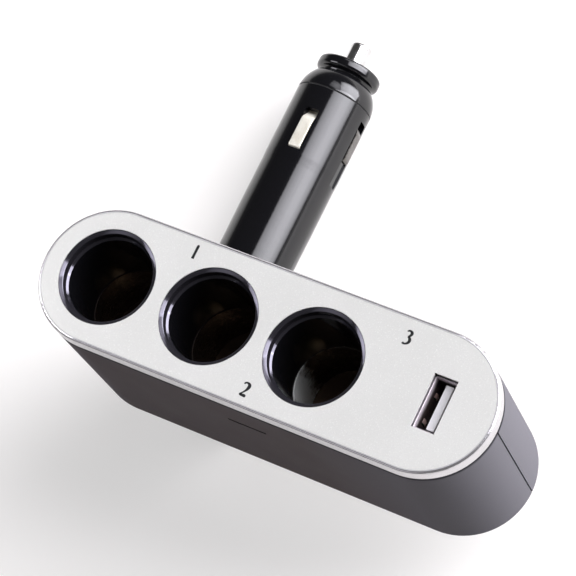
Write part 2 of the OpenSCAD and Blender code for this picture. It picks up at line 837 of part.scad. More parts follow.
module tip_spring() {
    s0 = fuse_front_s + spring_wire_r + lead_gap;
    s1 = ledge_s - fit - pin_flange_t - spring_wire_r - lead_gap;
    steps = spring_turns * spring_rings;
    color("silver") on_plug() swept([for (i = [0:steps])
        let (a = 360 * i / spring_rings)
            [spring_r * cos(a), spring_r * sin(a), s0 + (s1 - s0) * i / steps]],
        spring_wire_r, [0, 0, 1], spring_sides);
}

// Tube that holds the fuse, with a centring disc at each end
module fuse_tube() {
    disc_r = cavity_r - fit / 2;
    color("darkslategray") on_plug() difference() {
        union() {
            translate([0, 0, carrier_s])
                cylinder(r = carrier_r, h = barrel_s + neck_tube_h - carrier_s);
            translate([0, 0, carrier_s]) cylinder(r = disc_r, h = disc_t);
            translate([0, 0, barrel_s - disc_t]) cylinder(r = disc_r, h = disc_t);
        }
        translate([0, 0, cup_s]) cylinder(r = carrier_bore_r, h = fuse_len * 2);
        translate([0, 0, carrier_s - over]) cylinder(r = stud_r + fit / 2, h = carrier_wall + 2 * over);
        translate([ground_lead_at - lead_r - fit, -lead_r - fit, carrier_s - over])
            cube([cavity_r, 2 * lead_r + 2 * fit, disc_t + 2 * over]);
    }
}

module fuse_glass() {
    glass_t = 0.5;
    glass_r = fuse_r - 0.25;
    color("lightcyan") on_plug() translate([0, 0, fuse_back_s + fuse_cap_len / 6]) difference() {
        cylinder(r = glass_r, h = fuse_len - fuse_cap_len / 3);
        translate([0, 0, -over])
            cylinder(r = glass_r - glass_t, h = fuse_len - fuse_cap_len / 3 + 2 * over);
    }
}

// Two metal caps over the ends of the glass, and the fuse wire between them
module fuse_caps() {
    cap_skin = 0.2;
    end_t = fuse_cap_len / 6 - fit / 2;
    color("silver") on_plug() {
        for (s = [0, 1]) translate([0, 0, fuse_back_s + s * fuse_len]) mirror([0, 0, s])
            difference() {
                cylinder(r = fuse_r, h = fuse_cap_len);
                translate([0, 0, end_t]) cylinder(r = fuse_r - cap_skin, h = fuse_cap_len);
            }
        translate([0, 0, fuse_back_s + end_t / 2])
            cylinder(r = cap_skin, h = fuse_len - end_t);
    }
}

// Brass cup behind the fuse, with a stud through the end of the tube
module fuse_terminal() {
    color("gold") on_plug() {
        translate([0, 0, cup_s]) difference() {
            cylinder(r = carrier_bore_r - fit / 4, h = cup_len);
            translate([0, 0, cup_floor]) cylinder(r = carrier_bore_r - fit / 4 - cup_t, h = cup_len);
        }
        translate([0, 0, cup_s - stud_len]) cylinder(r = stud_r, h = stud_len + cup_floor / 2);
    }
}

// Collar round the fuse tube, with a pad under each side contact
module ground_collar() {
    in_r = carrier_r + fit / 2;
    out_r = in_r + collar_t;
    pad_r = foot_r - leaf_t - press - pass_gap / 2;
    color("goldenrod") on_plug() difference() {
        union() {
            translate([0, 0, collar_back_s]) cylinder(r = out_r, h = collar_front_s - collar_back_s);
            for (i = [0:3]) rotate([0, 0, leaf_turn(i)])
                translate([0, -collar_tab_w / 2, leaf_s(i) + window_l / 3])
                    cube([pad_r, collar_tab_w, window_l / 3]);
        }
        translate([0, 0, collar_back_s - over])
            cylinder(r = in_r, h = collar_front_s - collar_back_s + 2 * over);
    }
}

// Lead from the left trunnion to the stud behind the fuse
module power_lead_plug() {
    color("red") on_plug() lead([[-trunnion_end + lead_gap, 0, 0], [-throat_r / 2, 0, 0],
        [-throat_r / 2, 0, cavity_s + throat_r], [0, 0, cavity_s + 3 * throat_r],
        [0, 0, cup_s - stud_len]], [0, 1, 0]);
}

// Lead from the right trunnion to the ground collar
module ground_lead_plug() {
    color("black") on_plug() lead([[trunnion_end - lead_gap, 0, 0], [throat_r / 2, 0, 0],
        [throat_r / 2, 0, cavity_s + throat_r], [ground_lead_at, 0, cavity_s + 3 * throat_r],
        [ground_lead_at, 0, collar_back_s + window_l / 4]], [0, 1, 0]);
}

// One side contact: foot, steep rise, flat top and a ramp towards the tip
module side_spring(i) {
    ramp = window_l * leaf_ramp_share;
    low = foot_r - leaf_t;
    high = leaf_top_r - leaf_t;
    color("silver") on_plug() rotate([0, 0, leaf_turn(i)])
        translate([0, leaf_w / 2, leaf_s(i)]) rotate([90, 0, 0]) linear_extrude(leaf_w)
            polygon([[low, -foot_l], [foot_r, -foot_l], [foot_r, fit], [leaf_top_r - leaf_t, fit],
                [leaf_top_r, fit + leaf_t], [leaf_top_r, window_l - ramp],
                [foot_r, window_l - fit], [foot_r, window_l + foot_l], [low, window_l + foot_l],
                [low, window_l - leaf_t - fit], [high, window_l - ramp - leaf_t / 2],
                [high, 2 * leaf_t], [low, 2 * leaf_t]]);
}

face_sheet();
front_cover();
upper_housing();
lower_housing();
housing_screws();
socket_well(0);  // socket_well_1
socket_well(1);  // socket_well_2
socket_well(2);  // socket_well_3
ground_sleeve(0);  // ground_sleeve_1
ground_sleeve(1);  // ground_sleeve_2
ground_sleeve(2);  // ground_sleeve_3
insulator(0);  // insulator_1
insulator(1);  // insulator_2
insulator(2);  // insulator_3
centre_contact(0);  // centre_contact_1
centre_contact(1);  // centre_contact_2
centre_contact(2);  // centre_contact_3
power_bus();
ground_bus();
usb_shell();
usb_tongue();
usb_pins();
usb_board();
board_coil();
board_capacitor();
board_chip();
board_power_lead();
board_ground_lead();
power_lead_body();
ground_lead_body();
plug_barrel();
nose_cap();
fuse_tube();
fuse_glass();
fuse_caps();
fuse_terminal();
ground_collar();
power_lead_plug();
ground_lead_plug();
tip_nut();
tip_pin();
tip_spring();
side_spring(0);  // side_spring_1
side_spring(1);  // side_spring_2
side_spring(2);  // side_spring_3
side_spring(3);  // side_spring_4
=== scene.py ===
import json
import math
import bmesh
import bpy
import numpy as np
from mathutils import Matrix, Quaternion, Vector


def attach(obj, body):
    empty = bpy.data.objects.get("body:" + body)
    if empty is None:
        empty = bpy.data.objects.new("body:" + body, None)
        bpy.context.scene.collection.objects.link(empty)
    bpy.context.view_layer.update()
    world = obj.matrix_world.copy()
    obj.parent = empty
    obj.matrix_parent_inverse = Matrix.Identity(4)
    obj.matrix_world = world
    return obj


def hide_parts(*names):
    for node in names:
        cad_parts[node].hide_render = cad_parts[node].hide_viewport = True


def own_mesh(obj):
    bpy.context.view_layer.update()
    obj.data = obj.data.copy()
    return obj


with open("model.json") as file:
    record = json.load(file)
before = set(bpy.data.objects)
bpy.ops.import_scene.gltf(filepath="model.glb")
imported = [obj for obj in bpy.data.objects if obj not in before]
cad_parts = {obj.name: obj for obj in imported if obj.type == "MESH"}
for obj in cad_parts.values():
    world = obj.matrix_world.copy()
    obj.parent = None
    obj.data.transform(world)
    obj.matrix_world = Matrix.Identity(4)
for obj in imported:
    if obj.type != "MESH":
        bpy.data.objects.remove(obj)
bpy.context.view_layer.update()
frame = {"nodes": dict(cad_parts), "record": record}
cadNodes = frame["nodes"]
print("stage: frame loaded,", len(cadNodes), "nodes")

mm = 0.001

# Places on the adapter that several pieces use, in metres
adapter = {
    "faceZ": 3 * mm, "leftX": -28.1 * mm, "rightX": 56.7 * mm,
    "socketX": (-28.1 * mm, 0.0, 28.1 * mm), "backZ": -46.4 * mm,
    "plugX": -23.2 * mm, "pivotZ": -57.5 * mm, "sleeveZ": -19.0 * mm,
    "usbX": 59.2 * mm, "usbMouthZ": 1.6 * mm, "seamY": 80.4 * mm,
}


studio = {
    "cameraPlace": (0.24558, -0.12694, 0.53520), "cameraAim": (0.01357, 0.01380, 0.0),
    "cameraRoll": -35.10, "lens": 161.69, "sensor": 36.0, "clipFrom": 0.01, "clipTo": 30,
    "floorZ": -68.9 * mm, "floorSize": 8.0, "floorRoughness": 0.9,
    # the paper's colour, and the shares of it between which its grain varies
    "floorColour": (0.56, 0.54, 0.515), "floorShades": (0.99, 1.01),
    # the floor's own light near the adapter and far from it, and the distances between which it rises
    "floorGlow": (0.44, 0.90), "glowFrom": 0.6, "glowTo": 2.2,
    "lampCentre": (0.01, 0.0, -0.02), "lampColour": (0.945, 0.94, 1.0),
    # direction from the adapter, direction of the width, distance, width, height, radiance, and fall-off
    # along the width and along the height as (place, share) pairs
    "softboxes": {
        "mainSoftbox": ((0.650, 0.375, 0.661), (0.713, 0.0, -0.701), 1.4, 1.95, 0.44, 9.8,
                        ((0.0, 0.36), (0.13, 0.54), (0.22, 0.66), (0.38, 0.84), (0.53, 1.0), (0.68, 0.98),
                         (0.85, 0.70), (1.0, 0.3)), ((0.0, 1.0), (1.0, 1.0))),
        "backSoftbox": ((0.574, 0.720, 0.391), (0.713, 0.0, -0.701), 1.4, 1.34, 0.92, 11.0,
                        ((0.0, 0.4), (0.25, 0.8), (0.5, 1.0), (1.0, 0.9)),
                        ((0.0, 0.9), (0.4, 1.0), (0.8, 1.0), (1.0, 0.5))),
        "topSoftbox": ((0.11, 0.63, 0.77), (0.98, -0.17, 0.0), 1.4, 0.90, 0.55, 3.0,
                       ((0.0, 0.5), (0.5, 1.0), (1.0, 0.5)), ((0.0, 0.7), (0.5, 1.0), (1.0, 0.7))),
        "frontSoftbox": ((-0.30, -0.62, 0.72), (0.90, -0.435, 0.0), 1.4, 1.2, 0.70, 0.9,
                         ((0.0, 0.5), (0.5, 1.0), (1.0, 0.5)), ((0.0, 0.6), (0.5, 1.0), (1.0, 0.6))),
        "leftSoftbox": ((-0.80, -0.12, 0.62), (0.0, 1.0, 0.0), 0.34, 0.16, 0.16, 5.4,
                        ((0.0, 0.6), (0.5, 1.0), (1.0, 0.6)), ((0.0, 1.0), (1.0, 1.0))),
    },
    # brightness of the backdrop by the sine of the height above the horizon
    "backdrop": ((0.0, 0.93), (0.06, 0.74), (0.15, 0.12), (0.40, 0.06), (1.0, 0.06)),
    "backdropTint": (1.0, 0.98, 0.965),
}


def aimAt(obj, place, target, roll):
    # turn so that local -Z looks from place at target, then roll about the line of sight
    look = Vector(target) - Vector(place)
    turn = look.to_track_quat("-Z", "Y") @ Quaternion((0, 0, 1), math.radians(roll))
    obj.location = place
    obj.rotation_mode = "QUATERNION"
    obj.rotation_quaternion = turn


def makeCamera(s):
    data = bpy.data.cameras.new("studioCamera")
    data.lens, data.sensor_width = s["lens"], s["sensor"]
    data.clip_start, data.clip_end = s["clipFrom"], s["clipTo"]
    camera = bpy.data.objects.new("studioCamera", data)
    bpy.context.scene.collection.objects.link(camera)
    aimAt(camera, s["cameraPlace"], s["cameraAim"], s["cameraRoll"])
    bpy.context.scene.camera = camera


def node(tree, kind, **values):
    # adds a shader node and sets its properties and its unlinked inputs by name
    made = tree.nodes.new(kind)
    for key, value in values.items():
        if hasattr(made, key):
            setattr(made, key, value)
        else:
            made.inputs[key.replace("_", " ")].default_value = value
    return made


def axesOf(tree, point):
    # the x, y and z fields of a point
    split = node(tree, "ShaderNodeSeparateXYZ")
    tree.links.new(point, split.inputs[0])
    return split.outputs


def combine(tree, operation, first, second=0):
    # one step of arithmetic on fields or plain numbers
    made = node(tree, "ShaderNodeMath", operation=operation)
    for socket, value in zip(made.inputs, (first, second)):
        if isinstance(value, (int, float)):
            socket.default_value = value
        else:
            tree.links.new(value, socket)
    return made.outputs[0]


def blendColour(tree, amount, first, second):
    # mixes two colours, each a socket or a plain colour, by a field
    mix = node(tree, "ShaderNodeMix", data_type="RGBA")
    tree.links.new(amount, mix.inputs["Factor"])
    for socket, value in ((mix.inputs[6], first), (mix.inputs[7], second)):
        if isinstance(value, tuple):
            socket.default_value = (*value, 1)
        else:
            tree.links.new(value, socket)
    return mix.outputs[2]


def makeRamp(tree, field, stops):
    # grey levels along a field from 0 to 1
    ramp = node(tree, "ShaderNodeValToRGB")
    ramp.color_ramp.interpolation = "EASE"
    elements = ramp.color_ramp.elements
    for element, (place, level) in zip(elements, (stops[0], stops[-1])):
        element.position, element.color = place, (level, level, level, 1)
    for place, level in stops[1:-1]:
        elements.new(place).color = (level, level, level, 1)
    tree.links.new(field, ramp.inputs["Fac"])
    return ramp.outputs["Color"]


def makeSoftbox(name, direction, across, distance, width, height, radiance, falloffAcross, falloffUp, s):
    lamp = bpy.data.lights.new(name, "AREA")
    lamp.shape, lamp.size, lamp.size_y = "RECTANGLE", width, height
    lamp.energy = radiance * math.pi * width * height  # an area lamp's radiance is power / (pi * area)
    lamp.color = s["lampColour"]
    lamp.use_nodes = True
    tree = lamp.node_tree
    placeAcross, placeUp, _ = axesOf(tree, node(tree, "ShaderNodeNewGeometry").outputs["Parametric"])
    level = combine(tree, "MULTIPLY", makeRamp(tree, placeAcross, falloffAcross),
                    makeRamp(tree, placeUp, falloffUp))
    tree.links.new(level, tree.nodes["Emission"].inputs["Strength"])
    obj = bpy.data.objects.new(name, lamp)
    bpy.context.scene.collection.objects.link(obj)
    away = Vector(direction).normalized()
    side = (Vector(across) - away * Vector(across).dot(away)).normalized()
    up = away.cross(side)
    obj.matrix_world = Matrix.Translation(Vector(s["lampCentre"]) + away * distance) @ Matrix(
        ((side.x, up.x, away.x), (side.y, up.y, away.y), (side.z, up.z, away.z))).to_4x4()


def makeWorld(s):
    # a pale backdrop at the horizon that falls off to a dim grey above
    world = bpy.data.worlds.new("studioWorld")
    world.use_nodes = True
    bpy.context.scene.world = world
    tree = world.node_tree
    height = axesOf(tree, node(tree, "ShaderNodeTexCoord").outputs["Generated"])[2]
    level = makeRamp(tree, height, s["backdrop"])
    tree.links.new(blendColour(tree, level, (0.0, 0.0, 0.0), s["backdropTint"]),
                   tree.nodes["Background"].inputs["Color"])


def meshObject(name, vertices, faces, sharpAngle=40):
    # vertices as an (n, 3) array, faces as lists of indices; faces are turned to point out of closed shells
    mesh = bpy.data.meshes.new(name)
    mesh.from_pydata(np.asarray(vertices, float).tolist(), [], faces)
    shell = bmesh.new()
    shell.from_mesh(mesh)
    bmesh.ops.recalc_face_normals(shell, faces=shell.faces[:])
    shell.to_mesh(mesh)
    shell.free()
    mesh.polygons.foreach_set("use_smooth", np.full(len(mesh.polygons), True))
    mesh.set_sharp_from_angle(angle=math.radians(sharpAngle))
    obj = bpy.data.objects.new(name, mesh)
    bpy.context.scene.collection.objects.link(obj)
    return obj


makeCamera(studio)
for softboxName, values in studio["softboxes"].items():
    makeSoftbox(softboxName, *values, studio)
makeWorld(studio)
half = studio["floorSize"] / 2
floor = meshObject("floor", [(-half, -half, studio["floorZ"]), (half, -half, studio["floorZ"]),
                             (half, half, studio["floorZ"]), (-half, half, studio["floorZ"])], [(0, 1, 2, 3)])
bpy.context.scene.view_settings.view_transform = "Standard"
print("stage: camera, floor and lamps")


def newFinish(name, colour, roughness, metallic=0.0, **sockets):
    # a material with plain values, which the finishes below then paint over
    material = bpy.data.materials.new(name)
    material.use_nodes = True
    material.diffuse_color = (*colour, 1)
    shader = material.node_tree.nodes["Principled BSDF"]
    shader.inputs["Base Color"].default_value = (*colour, 1)
    shader.inputs["Roughness"].default_value = roughness
    shader.inputs["Metallic"].default_value = metallic
    for key, value in sockets.items():
        shader.inputs[key.replace("_", " ")].default_value = value
    return material, material.node_tree, shader


def objectPoint(tree, stretch=(1, 1, 1), centre=(0, 0, 0)):
    # Object coordinates, moved to a centre and stretched along each axis
    source = node(tree, "ShaderNodeTexCoord")
    mapping = node(tree, "ShaderNodeMapping")
    mapping.inputs["Location"].default_value = [-c * s for c, s in zip(centre, stretch)]
    mapping.inputs["Scale"].default_value = stretch
    tree.links.new(source.outputs["Object"], mapping.inputs["Vector"])
    return mapping.outputs[0]


def noiseAt(tree, point, size, detail=3.0, rough=0.55):
    # cloudy noise whose largest features have the size in metres
    noise = node(tree, "ShaderNodeTexNoise", Scale=1 / size, Detail=detail, Roughness=rough)
    tree.links.new(point, noise.inputs["Vector"])
    return noise.outputs["Fac"]


def reopened(material):
    # tree and shader of a finish that gets one more layer
    tree = material.node_tree
    return tree, tree.nodes["Principled BSDF"]


def linked(shader, name):
    # the field that already feeds a socket
    return shader.inputs[name].links[0].from_socket


def cellsAt(tree, point, size):
    # cells of the size in metres, with a distance and a random colour each
    cells = node(tree, "ShaderNodeTexVoronoi", Scale=1 / size)
    tree.links.new(point, cells.inputs["Vector"])
    return cells


def spread(tree, value, low, high, fromLow=0.0, fromHigh=1.0):
    # maps a field from one range onto another, clamped
    made = node(tree, "ShaderNodeMapRange")
    made.inputs["From Min"].default_value, made.inputs["From Max"].default_value = fromLow, fromHigh
    made.inputs["To Min"].default_value, made.inputs["To Max"].default_value = low, high
    tree.links.new(value, made.inputs["Value"])
    return made.outputs["Result"]


def raiseBy(tree, shader, height, distance):
    # a field as relief, a field of one standing the distance high
    bump = node(tree, "ShaderNodeBump", Distance=distance, Strength=1.0)
    tree.links.new(height, bump.inputs["Height"])
    tree.links.new(bump.outputs["Normal"], shader.inputs["Normal"])


def fromMiddle(tree, field, middle):
    # distance of a field from a value
    return combine(tree, "ABSOLUTE", combine(tree, "SUBTRACT", field, middle))


def roughened(tree, shader, amount, least):
    # raises the roughness to at least a value where a field is one
    rough = combine(tree, "MAXIMUM", linked(shader, "Roughness"), combine(tree, "MULTIPLY", amount, least))
    tree.links.new(rough, shader.inputs["Roughness"])


def wearFinish(name, colour, roughness, tint=0.12, grainDepth=0.006 * mm, roughSpread=0.06, **sockets):
    # a base colour with slow drift and fine grain, its roughness drifting too, and grain as relief
    material, tree, shader = newFinish(name, colour, roughness, **sockets)
    point = objectPoint(tree)
    drift = noiseAt(tree, point, 9 * mm, 3)
    grain = noiseAt(tree, point, 0.4 * mm, 4)
    dark = tuple(c * (1 - tint) for c in colour)
    light = tuple(min(1, c * (1 + tint)) for c in colour)
    slow = blendColour(tree, spread(tree, drift, 0, 1, 0.3, 0.7), dark, light)
    fine = blendColour(tree, spread(tree, grain, 0, 0.35, 0.35, 0.7), slow, light)
    tree.links.new(fine, shader.inputs["Base Color"])
    tree.links.new(spread(tree, drift, roughness - roughSpread, roughness + roughSpread, 0.3, 0.7),
                   shader.inputs["Roughness"])
    raiseBy(tree, shader, grain, grainDepth)
    return material


def ringDistance(tree, point):
    # distance in metres from the line that joins the two round ends, so the body's outline is a level of it
    x, y, _ = axesOf(tree, point)
    middle = (adapter["leftX"] + adapter["rightX"]) / 2
    halfLength = (adapter["rightX"] - adapter["leftX"]) / 2
    along = combine(tree, "MAXIMUM", combine(tree, "SUBTRACT", fromMiddle(tree, x, middle), halfLength))
    return combine(tree, "SQRT", combine(tree, "ADD", combine(tree, "MULTIPLY", along, along),
                                         combine(tree, "MULTIPLY", y, y)))


sheetPaint = {
    "paint": (0.80, 0.795, 0.785), "tones": ((0.765, 0.765, 0.722), (0.805, 0.805, 0.762)),
    "dull": (0.71, 0.705, 0.675), "bright": (0.95, 0.95, 0.91), "roughness": (0.36, 0.50),
    "drift": 22 * mm, "flake": 0.16 * mm, "grain": 0.22 * mm, "grainDepth": 0.008 * mm,
}


def silverSheetFinish(s):
    # pale satin paint with a fine metallic sparkle, slightly darker in wide clouds
    material, tree, shader = newFinish("silverSheetFinish", s["paint"], 0.42, 0.40, Specular_IOR_Level=0.4)
    point = objectPoint(tree)
    flakes = cellsAt(tree, point, s["flake"])
    tone = node(tree, "ShaderNodeSeparateColor")
    tree.links.new(flakes.outputs["Color"], tone.inputs[0])
    base = blendColour(tree, spread(tree, noiseAt(tree, point, s["drift"], 2), 0, 1, 0.35, 0.65), *s["tones"])
    dull = blendColour(tree, spread(tree, tone.outputs[0], 0, 0.5, 0, 1), base, s["dull"])
    bright = blendColour(tree, spread(tree, tone.outputs[1], 0, 0.8, 0.93, 1), dull, s["bright"])
    tree.links.new(bright, shader.inputs["Base Color"])
    tree.links.new(spread(tree, tone.outputs[2], *s["roughness"]), shader.inputs["Roughness"])
    raiseBy(tree, shader, noiseAt(tree, point, s["grain"], 3), s["grainDepth"])
    return material


rimMarks = {
    "middle": (0.64, 0.625, 0.64),
    # levels between which the duller line fades in and out, and heights between which the plating ends
    "lineIn": (16.35 * mm, 16.48 * mm), "lineOut": (16.62 * mm, 16.80 * mm),
    "platingEnd": (-8.2 * mm, -8.0 * mm),
    "plating": ((0.61, 0.595, 0.61), (0.66, 0.645, 0.66)), "line": (0.62, 0.61, 0.61),
    "bare": (0.018, 0.017, 0.017), "metallic": 0.85, "lineMetallic": 0.15,
}


def rimFinish(s):
    # bright metallised plastic, with a duller line where it meets the face sheet and light handling marks
    material, tree, shader = newFinish("rimFinish", s["middle"], 0.24, s["metallic"])
    point = objectPoint(tree)
    level = ringDistance(tree, point)
    line = combine(tree, "MULTIPLY", spread(tree, level, 0, 1, *s["lineIn"]),
                   spread(tree, level, 1, 0, *s["lineOut"]))
    drift = noiseAt(tree, point, 6 * mm, 3)
    base = blendColour(tree, spread(tree, drift, 0, 1, 0.3, 0.7), *s["plating"])
    plated = blendColour(tree, line, base, s["line"])
    # the snap arms inside the shells are bare dark plastic
    arms = spread(tree, axesOf(tree, point)[2], 1, 0, *s["platingEnd"])
    tree.links.new(blendColour(tree, arms, plated, s["bare"]), shader.inputs["Base Color"])
    tree.links.new(combine(tree, "SUBTRACT", spread(tree, line, s["metallic"], s["lineMetallic"]), arms),
                   shader.inputs["Metallic"])
    marks = noiseAt(tree, point, 1.8 * mm, 3)
    tree.links.new(spread(tree, marks, 0.21, 0.27, 0.35, 0.75), shader.inputs["Roughness"])
    raiseBy(tree, shader, noiseAt(tree, point, 0.3 * mm, 2), 0.001 * mm)
    return material


shellMarks = {
    "middle": (0.114, 0.090, 0.078), "roughness": (0.40, 0.52), "grain": 0.28 * mm, "grainDepth": 0.012 * mm,
    "slotX": 14.05 * mm, "slotZ": -13.6 * mm, "slotLength": 10.3 * mm, "slotHeight": 0.9 * mm,
    # painted light and shade: darker warm tones of the long walls as their shade, a lighter cool tone of the
    # right end as the light on it, and places along X between which they change
    "shadedWallTones": ((0.095, 0.076, 0.067), (0.108, 0.090, 0.081)), "litEndTone": (0.144, 0.139, 0.148),
    "turn": (30 * mm, 64 * mm),
    # the dust and rubbed tones are the shell's own; the near black tone is painted shade
    "dust": (0.24, 0.23, 0.22), "rubbed": (0.22, 0.215, 0.21), "paintedShade": (0.012, 0.011, 0.011),
    # heights above the back and levels between which the rubbed edge fades out, the painted shade's half width
    # in the seam, and the heights between which it fades in under the cover
    "rubbedUp": (0.2 * mm, 2.2 * mm), "rubbedOut": (15.2 * mm, 17.2 * mm), "seam": (0.10 * mm, 0.20 * mm),
    "under": (-2.2 * mm, -1.5 * mm), "slotFade": 0.1 * mm,
}


def shellFinish(s):
    # dark grey moulded shell: fine eroded grain, a painted drift from darker warm shade on the long walls to a
    # lighter cool lit tone at the right end, dust and rubbed back edges
    material, tree, shader = newFinish("shellFinish", s["middle"], 0.46, Specular_IOR_Level=0.0,
                                       Sheen_Weight=0.14, Sheen_Roughness=0.42,
                                       Sheen_Tint=(0.80, 0.83, 1.0, 1.0))
    point = objectPoint(tree)
    x, y, z = axesOf(tree, point)
    shadedWallTones = blendColour(tree, spread(tree, noiseAt(tree, point, 14 * mm, 3), 0, 1, 0.3, 0.7), *s["shadedWallTones"])
    # painted light and shade: from the shaded warm walls to the lighter, cooler lit right end
    base = blendColour(tree, spread(tree, x, 0, 1, *s["turn"]), shadedWallTones, s["litEndTone"])
    dust = noiseAt(tree, point, 0.5 * mm, 2)
    dusty = blendColour(tree, spread(tree, dust, 0, 0.4, 0.68, 0.78), base, s["dust"])
    backEdge = spread(tree, z, 1, 0, *(adapter["backZ"] + up for up in s["rubbedUp"]))
    outer = spread(tree, ringDistance(tree, point), 0, 1, *s["rubbedOut"])
    rubbed = combine(tree, "MULTIPLY", combine(tree, "MULTIPLY", backEdge, outer),
                     spread(tree, noiseAt(tree, point, 1.6 * mm, 5, 0.7), 0, 0.8, 0.45, 0.7))
    worn = blendColour(tree, rubbed, dusty, s["rubbed"])
    # painted shade in the seam between the two shells, under the front cover and in the latch slots of the
    # long walls
    seam = spread(tree, combine(tree, "ABSOLUTE", y), 1, 0, *s["seam"])
    under = spread(tree, z, 0, 0.85, *s["under"])
    slot = combine(tree, "MULTIPLY", *(
        spread(tree, fromMiddle(tree, field, middle), 1, 0, size / 2, size / 2 + s["slotFade"])
        for field, middle, size in ((z, s["slotZ"], s["slotHeight"]), (x, s["slotX"], s["slotLength"]))))
    paintedShade = combine(tree, "MAXIMUM", combine(tree, "MAXIMUM", seam, under), slot)
    tree.links.new(blendColour(tree, paintedShade, worn, s["paintedShade"]), shader.inputs["Base Color"])
    tree.links.new(spread(tree, noiseAt(tree, point, 5 * mm, 4), *s["roughness"], 0.3, 0.7),
                   shader.inputs["Roughness"])
    raiseBy(tree, shader, noiseAt(tree, point, s["grain"], 4, 0.6), s["grainDepth"])
    return material


blackPlastic = {
    # the near black last colour is painted shade in the seam's gap
    "black": (0.004, 0.004, 0.005), "dust": (0.14, 0.14, 0.14), "paintedShade": (0.001, 0.001, 0.001),
    # distances from the seam's middle between which it ends; heights of waves and seam in millimetres
    "seam": (0.10 * mm, 0.22 * mm), "waviness": 0.010, "seamDepth": 0.25,
    "roughness": (0.10, 0.20), "seamRoughness": 0.95,
}


def blackGlossFinish(name, s):
    # polished black plastic: faint waviness, hairline scratches and a few specks of dust, and a narrow seam
    # where the nose meets the barrel, painted near black as the shade in its gap
    material, tree, shader = newFinish(name, s["black"], 0.12, Specular_IOR_Level=0.62)
    point = objectPoint(tree)
    seam = spread(tree, fromMiddle(tree, axesOf(tree, point)[1], adapter["seamY"]), 1, 0, *s["seam"])
    scratches = noiseAt(tree, objectPoint(tree, (1, 9, 1)), 1.0 * mm, 5, 0.75)
    tree.links.new(spread(tree, scratches, *s["roughness"], 0.5, 0.8), shader.inputs["Roughness"])
    roughened(tree, shader, seam, s["seamRoughness"])
    specks = noiseAt(tree, point, 0.35 * mm, 2)
    dusty = blendColour(tree, spread(tree, specks, 0, 0.25, 0.74, 0.82), s["black"], s["dust"])
    # painted shade: the seam is darkened to near black
    tree.links.new(blendColour(tree, seam, dusty, s["paintedShade"]), shader.inputs["Base Color"])
    waves = combine(tree, "MULTIPLY", noiseAt(tree, point, 3 * mm, 2), s["waviness"])
    dip = combine(tree, "MULTIPLY", seam, s["seamDepth"])
    raiseBy(tree, shader, combine(tree, "SUBTRACT", waves, dip), mm)
    return material


wellRing = {"coat": (0.085, 0.081, 0.098), "coatMetal": 0.85, "coatFrom": -0.10 * mm, "coatTo": -0.02 * mm}


def wellFinish(s):
    # glossy black tube whose bevelled ring at the mouth has a thin dark metallised coat
    material = blackGlossFinish("wellFinish", blackPlastic)
    tree, shader = reopened(material)
    ring = spread(tree, axesOf(tree, objectPoint(tree))[2], 0, 1, s["coatFrom"], s["coatTo"])
    tree.links.new(blendColour(tree, ring, linked(shader, "Base Color"), s["coat"]),
                   shader.inputs["Base Color"])
    tree.links.new(spread(tree, ring, 0, s["coatMetal"]), shader.inputs["Metallic"])
    return material


def polishedFinish(name, colour, tarnish, roughness=0.14, drawn=(1, 1, 14), metallic=1.0):
    # rolled bright metal: fine lines along the rolling, and a faint tarnish
    material, tree, shader = newFinish(name, colour, roughness, metallic)
    point = objectPoint(tree)
    stain = noiseAt(tree, point, 4 * mm, 4)
    tree.links.new(blendColour(tree, spread(tree, stain, 0, 1, 0.45, 0.75), colour, tarnish),
                   shader.inputs["Base Color"])
    lines = noiseAt(tree, objectPoint(tree, drawn), 0.9 * mm, 4, 0.7)
    tree.links.new(spread(tree, lines, roughness * 0.6, roughness * 1.6, 0.35, 0.7),
                   shader.inputs["Roughness"])
    raiseBy(tree, shader, lines, 0.003 * mm)
    return material


sleeveOneTwo = {
    # metal: a dull colour darkened as painted shade; edge: near black painted shade over the cut top edge
    "metal": (0.34, 0.30, 0.27), "tarnish": (0.22, 0.18, 0.15), "roughness": 0.28,
    "edge": (0.045, 0.036, 0.03), "edgeRoughness": 0.5, "edgeDepth": (0.3 * mm, 0.1 * mm),
}


def shadedSleeveFinish(s):
    # dull metal darkened as painted shade inside sockets one and two, with its cut top edge painted darker
    # still as shade in place of its glint
    material = polishedFinish("shadedSleeveFinish", s["metal"], s["tarnish"], s["roughness"])
    tree, shader = reopened(material)
    fade = (adapter["sleeveZ"] - down for down in s["edgeDepth"])
    top = spread(tree, axesOf(tree, objectPoint(tree))[2], 0, 1, *fade)
    tree.links.new(blendColour(tree, top, linked(shader, "Base Color"), s["edge"]),
                   shader.inputs["Base Color"])
    roughened(tree, shader, top, s["edgeRoughness"])
    return material


sleeveThree = {
    "metal": (0.20, 0.175, 0.16), "tarnish": (0.12, 0.10, 0.085), "roughness": 0.30,
    # pale tones of the painted light patch, a painted reflection, with the patch's own metallic and roughness
    "patchLight": ((0.80, 0.82, 0.78), (0.97, 0.98, 0.96)), "cloudMetal": 0.1, "cloudRoughness": 0.6,
    # the painted light patch lies to this side of the sleeve's axis, from a distance on, with an edge that
    # wavers
    "centre": (adapter["socketX"][2], 0.0, 0.0), "side": (-0.974, -0.225, 0.0),
    "edge": 8.9 * mm, "edgeWidth": 1.2 * mm, "waver": 2.4 * mm,
}


